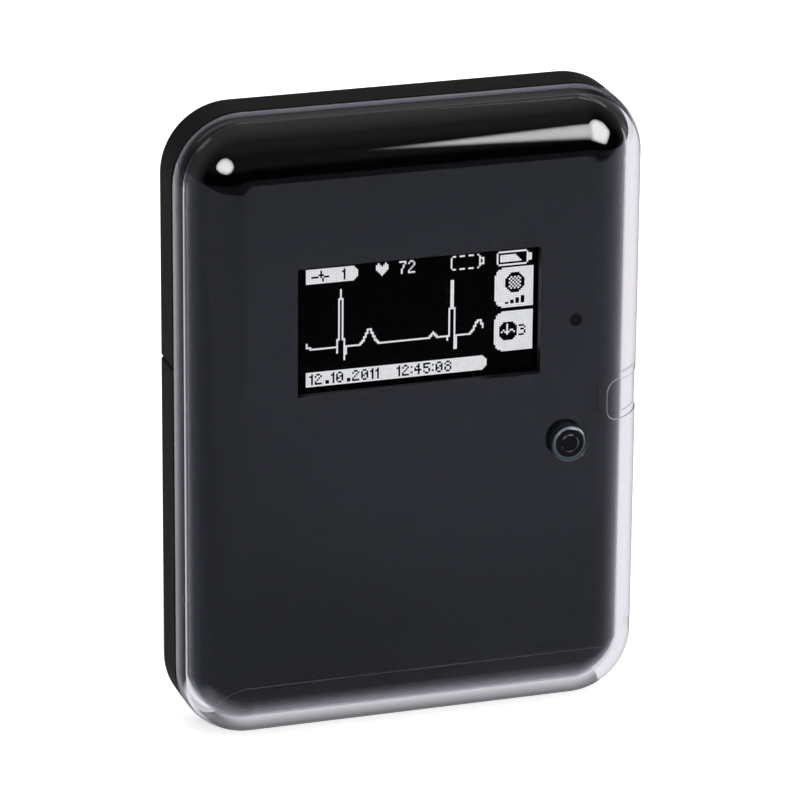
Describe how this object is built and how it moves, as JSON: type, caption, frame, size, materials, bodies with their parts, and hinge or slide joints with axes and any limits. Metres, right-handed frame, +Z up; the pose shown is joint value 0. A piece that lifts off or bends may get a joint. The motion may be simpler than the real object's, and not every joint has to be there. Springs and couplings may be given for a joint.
{
  "type": "holter monitor",
  "caption": "Slim patient-worn heart recorder with a clear clip-on cover, small screen, round event button and lift-off battery door.",
  "frame": {"origin": "middle of the footprint, on the lower edge that it stands on", "axes": "+Z up along the height, -Y out of the screen, +X to the right of someone who reads the screen"},
  "size_m": [0.072, 0.017, 0.097],
  "materials": {
    "clear_plastic": "clear polished acrylic or polycarbonate",
    "dark_gloss_plastic": "moulded near-black, smooth",
    "black_frame_plastic": "moulded black",
    "black_textured_plastic": "moulded black with a fine spark-eroded texture",
    "seal_rubber": "soft black",
    "screen_glass": "black display glass",
    "flex_film": "amber film",
    "circuit_board": "green solder mask",
    "chip_plastic": "moulded black",
    "tinned_metal": "tinned sheet",
    "card_plastic": "moulded black",
    "lamp_plastic": "pale resin",
    "smoked_plastic": "smoked clear",
    "button_plastic": "moulded black, smooth",
    "plunger_plastic": "moulded black",
    "cell_sleeve": "printed steel can",
    "contact_metal": "nickel plated",
    "pouch_foil": "aluminium laminate pouch",
    "screw_steel": "blackened steel",
    "socket_plastic": "moulded black",
    "gold_contact": "gold plated"
  },
  "bodies": {
    "housing": {"front_housing": "dark_gloss_plastic", "chassis": "black_frame_plastic", "rear_housing": "black_textured_plastic", "bay_seal": "seal_rubber", "case_seal": "seal_rubber", "screen_gasket": "seal_rubber", "screen_glass": "screen_glass", "screen_frame": "black_frame_plastic", "screen_flex": "flex_film", "flex_connector": "black_frame_plastic", "main_board": "circuit_board", "processor_chip": "chip_plastic", "memory_chip": "chip_plastic", "input_amplifiers": "chip_plastic", "shield_can": "tinned_metal", "buzzer": "chip_plastic", "card_holder": "tinned_metal", "memory_card": "card_plastic", "status_led": "lamp_plastic", "light_pipe": "smoked_plastic", "switch_body": "tinned_metal", "button_seal": "seal_rubber", "battery_cell": "cell_sleeve", "positive_contact": "contact_metal", "negative_contact": "contact_metal", "battery_spring": "contact_metal", "reserve_cell": "pouch_foil", "housing_screws": "screw_steel", "board_screws": "screw_steel", "cable_socket": "socket_plastic", "socket_contacts": "gold_contact", "socket_screws": "screw_steel"},
    "cover": {"clear_cover": "clear_plastic"},
    "door": {"battery_door": "black_textured_plastic"},
    "button": {"event_button": "button_plastic", "switch_plunger": "plunger_plastic"}
  },
  "joints": [
    {"name": "cover_lift", "type": "slide", "parent": "housing", "child": "cover", "axis": [0, -1, 0], "range_m": [0, 0.014]},
    {"name": "door_lift", "type": "slide", "parent": "housing", "child": "door", "axis": [0, 1, 0], "range_m": [0, 0.014]},
    {"name": "button_press", "type": "slide", "parent": "housing", "child": "button", "axis": [0, 1, 0], "range_m": [0, 0.0006], "stiffness_N_per_m": 400, "springref_m": -0.0005}
  ]
}
